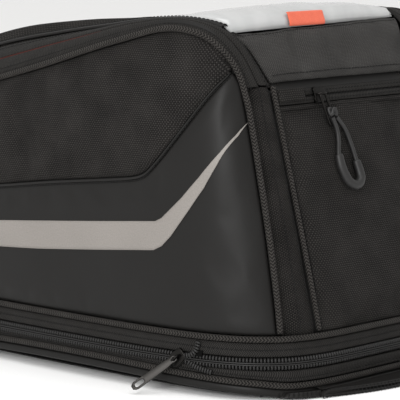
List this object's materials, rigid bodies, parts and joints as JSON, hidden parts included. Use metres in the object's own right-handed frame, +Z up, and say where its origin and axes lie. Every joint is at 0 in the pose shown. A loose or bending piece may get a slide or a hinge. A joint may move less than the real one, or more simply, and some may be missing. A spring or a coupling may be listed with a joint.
{
  "type": "motorcycle tank bag",
  "caption": "Padded motorcycle tank bag with a hinged zipped lid, clear map window, front pocket, expansion zip round the base and a magnet flap.",
  "frame": {"origin": "bottom centre of the bag's body, on the surface it stands on", "axes": "+Z up, -Y towards the handlebar end with the front pocket, +Y towards the rider, X across"},
  "size_m": [0.273, 0.4034, 0.2348],
  "materials": {
    "woven_nylon": "black 1680D woven nylon with a staggered dot weave",
    "coated_fabric": "smooth charcoal coated fabric, fine grain",
    "shoulder_fabric": "matt dark grey laminated fabric",
    "reflective_tape": "warm grey reflective print, slightly grainy",
    "welt_fabric": "woven piping, herringbone",
    "zip_coil": "black nylon coil",
    "webbing": "black ribbed webbing",
    "moulded_rubber": "matt black soft moulding",
    "dark_metal": "gunmetal plated zinc",
    "magnet_steel": "nickel plated magnet",
    "board": "black polyethylene board",
    "label_fabric": "orange red woven label, blank",
    "clear_vinyl": "clear PVC sheet"
  },
  "bodies": {
    "base": {"base_mat": "moulded_rubber", "base_board": "board", "base_magnets": "magnet_steel", "floor_lining": "coated_fabric", "base_skirt": "woven_nylon", "base_welt": "welt_fabric", "expansion_tape_lower": "coated_fabric", "expansion_coil_lower": "zip_coil", "expansion_gusset": "coated_fabric"},
    "main": {"expansion_coil_upper": "zip_coil", "expansion_tape_upper": "coated_fabric", "body_welt": "welt_fabric", "side_lower_left": "coated_fabric", "side_upper_left": "woven_nylon", "side_stripe_left": "reflective_tape", "side_lower_right": "coated_fabric", "side_upper_right": "woven_nylon", "side_stripe_right": "reflective_tape", "corner_band_left": "woven_nylon", "pocket_welt_left": "welt_fabric", "corner_band_right": "woven_nylon", "pocket_welt_right": "welt_fabric", "front_wall": "woven_nylon", "front_pocket": "woven_nylon", "pocket_zip_lower": "coated_fabric", "pocket_zip_upper": "coated_fabric", "pocket_coil": "zip_coil", "zip_garage": "webbing", "rear_panel": "woven_nylon", "rim_welt": "welt_fabric", "main_zip_tape": "coated_fabric", "main_coil": "zip_coil", "carry_handle": "webbing", "ring_tab_left": "webbing", "ring_tab_right": "webbing"},
    "lid": {"shoulder_panel": "shoulder_fabric", "lid_panel": "woven_nylon", "lid_zip_tape": "coated_fabric", "lid_coil": "zip_coil", "map_window": "clear_vinyl", "window_binding": "coated_fabric", "label_tag": "label_fabric"},
    "flap": {"flap_bottom": "coated_fabric", "flap_top": "coated_fabric", "flap_magnet": "magnet_steel"},
    "expansion_runner": {"expansion_slider": "dark_metal"},
    "expansion_tab": {"expansion_pull": "dark_metal"},
    "rear_runner_left": {"main_slider_left": "dark_metal"},
    "rear_runner_right": {"main_slider_right": "dark_metal"},
    "rear_tab_left": {"main_pull_left": "dark_metal"},
    "rear_tab_right": {"main_pull_right": "dark_metal"},
    "pocket_runner": {"pocket_slider": "dark_metal"},
    "pocket_bail": {"pocket_loop": "dark_metal", "pull_knot": "moulded_rubber"},
    "pocket_cord": {"pull_cord_left": "moulded_rubber", "pull_cord_right": "moulded_rubber", "pull_grip": "moulded_rubber"},
    "ring_left": {"strap_ring_left": "dark_metal"},
    "ring_right": {"strap_ring_right": "dark_metal"}
  },
  "joints": [
    {"name": "expansion_lift", "type": "slide", "parent": "base", "child": "main", "axis": [0, 0, 1], "range_m": [0, 0.045], "deforming": ["expansion_gusset"]},
    {"name": "lid_hinge", "type": "hinge", "parent": "main", "child": "lid", "pos_m": [0, -0.1345, 0.1892], "axis": [1, 0, 0], "range_deg": [0, 100]},
    {"name": "flap_hinge", "type": "hinge", "parent": "base", "child": "flap", "pos_m": [0, -0.181, 0.0055], "axis": [-1, 0, 0], "range_deg": [0, 70]},
    {"name": "expansion_zip_slide", "type": "slide", "parent": "base", "child": "expansion_runner", "axis": [-0.124, 0.9923, 0], "range_m": [0, 0.06]},
    {"name": "expansion_tab_hinge", "type": "hinge", "parent": "expansion_runner", "child": "expansion_tab", "pos_m": [-0.12718, -0.107, 0.0225], "axis": [-0.0823, 0.658, 0.7485], "range_deg": [-15, 90]},
    {"name": "main_zip_slide_left", "type": "slide", "parent": "main", "child": "rear_runner_left", "axis": [-1, 0, 0], "range_m": [0, 0.045]},
    {"name": "main_zip_slide_right", "type": "slide", "parent": "main", "child": "rear_runner_right", "axis": [1, 0, 0], "range_m": [0, 0.045]},
    {"name": "main_tab_hinge_left", "type": "hinge", "parent": "rear_runner_left", "child": "rear_tab_left", "pos_m": [-0.016, 0.17585, 0.17399], "axis": [1, 0, 0], "range_deg": [0, 120]},
    {"name": "main_tab_hinge_right", "type": "hinge", "parent": "rear_runner_right", "child": "rear_tab_right", "pos_m": [0.016, 0.17585, 0.17399], "axis": [1, 0, 0], "range_deg": [0, 120]},
    {"name": "pocket_zip_slide", "type": "slide", "parent": "main", "child": "pocket_runner", "axis": [1, 0, 0], "range_m": [0, 0.085]},
    {"name": "pocket_bail_hinge", "type": "hinge", "parent": "pocket_runner", "child": "pocket_bail", "pos_m": [-0.0285, -0.14273, 0.18368], "axis": [-0.9752, -0.0567, -0.2141], "range_deg": [0, 60]},
    {"name": "pocket_cord_hinge", "type": "hinge", "parent": "pocket_bail", "child": "pocket_cord", "pos_m": [-0.02482, -0.14958, 0.16875], "axis": [-0.9752, -0.0567, -0.2141], "range_deg": [0, 45]},
    {"name": "strap_ring_hinge_left", "type": "hinge", "parent": "main", "child": "ring_left", "pos_m": [-0.062, 0.18032, 0.066], "axis": [1, 0, 0], "range_deg": [0, 110]},
    {"name": "strap_ring_hinge_right", "type": "hinge", "parent": "main", "child": "ring_right", "pos_m": [0.062, 0.18032, 0.066], "axis": [1, 0, 0], "range_deg": [0, 110]}
  ]
}
